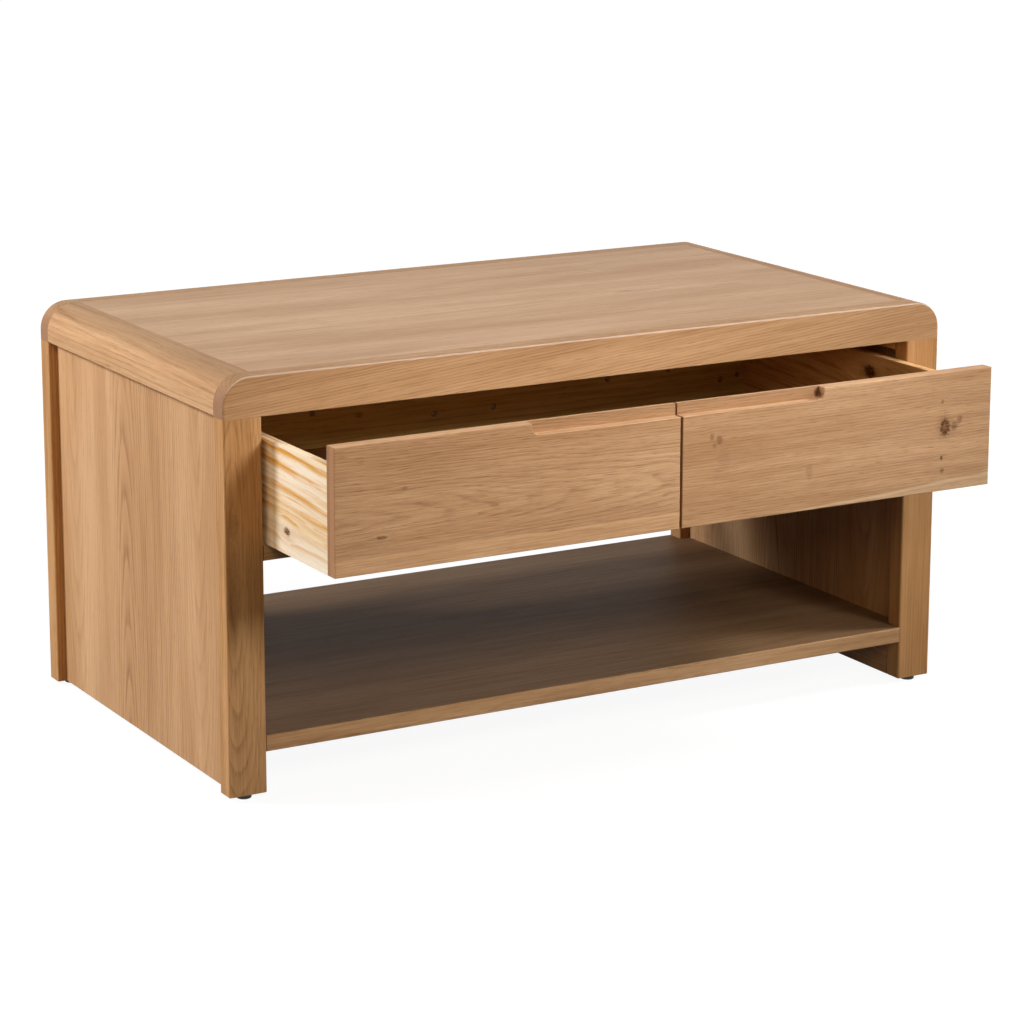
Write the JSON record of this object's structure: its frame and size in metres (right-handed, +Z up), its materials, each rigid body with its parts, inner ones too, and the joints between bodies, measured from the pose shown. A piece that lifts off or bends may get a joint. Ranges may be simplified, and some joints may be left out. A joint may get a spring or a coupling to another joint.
{
  "type": "coffee table",
  "caption": "Rectangular oak coffee table with rounded top shoulders, closed ends, an open shelf and a wide slide-through drawer with finger-pull faces.",
  "frame": {"origin": "on the floor, at the middle of the four legs", "axes": "+X to the right along the length, +Y from the front to the back, +Z up"},
  "size_m": [1, 0.725, 0.5],
  "materials": {
    "oak_panel": "satin oil, lengthwise grain",
    "oak_frame": "satin oil, solid oak",
    "oak_face": "satin oil, fine level grain",
    "oak_board": "oiled",
    "pine": "clear lacquer",
    "dark_batten": "oiled",
    "thin_ply": "clear lacquer",
    "beech": "raw",
    "runner_plastic": "smooth",
    "black_nylon": "matte",
    "steel": "zinc plated"
  },
  "bodies": {
    "table": {"top_panel": "oak_panel", "left_side_panel": "oak_panel", "right_side_panel": "oak_panel", "shelf": "oak_panel", "front_top_rail": "oak_frame", "back_top_rail": "oak_frame", "left_end_rail": "oak_frame", "right_end_rail": "oak_frame", "front_left_leg": "oak_frame", "front_right_leg": "oak_frame", "back_left_leg": "oak_frame", "back_right_leg": "oak_frame", "front_bearer": "oak_board", "back_bearer": "oak_board", "left_runner": "oak_board", "right_runner": "oak_board", "left_shelf_rail": "oak_board", "right_shelf_rail": "oak_board", "front_top_cleat": "pine", "back_top_cleat": "pine", "left_side_guide": "pine", "right_side_guide": "pine", "left_drawer_stop": "pine", "right_drawer_stop": "pine", "left_kicker": "dark_batten", "right_kicker": "dark_batten", "left_runner_strip": "runner_plastic", "right_runner_strip": "runner_plastic", "front_left_foot": "black_nylon", "front_right_foot": "black_nylon", "back_left_foot": "black_nylon", "back_right_foot": "black_nylon", "leg_dowels": "beech", "end_rail_dowels": "beech", "shelf_dowels": "beech", "runner_dowels": "beech", "bearer_dowels": "beech", "cleat_screws": "steel"},
    "drawer": {"front_left_drawer_face": "oak_face", "front_right_drawer_face": "oak_face", "back_left_drawer_face": "oak_face", "back_right_drawer_face": "oak_face", "left_drawer_side": "pine", "right_drawer_side": "pine", "front_drawer_board": "pine", "back_drawer_board": "pine", "left_drawer_batten": "pine", "right_drawer_batten": "pine", "drawer_bottom": "thin_ply", "drawer_corner_dowels": "beech", "front_face_screws": "steel", "back_face_screws": "steel"}
  },
  "joints": [
    {"name": "drawer_slide", "type": "slide", "parent": "table", "child": "drawer", "axis": [0, -1, 0], "range_m": [-0.4077, 0.0577]}
  ]
}
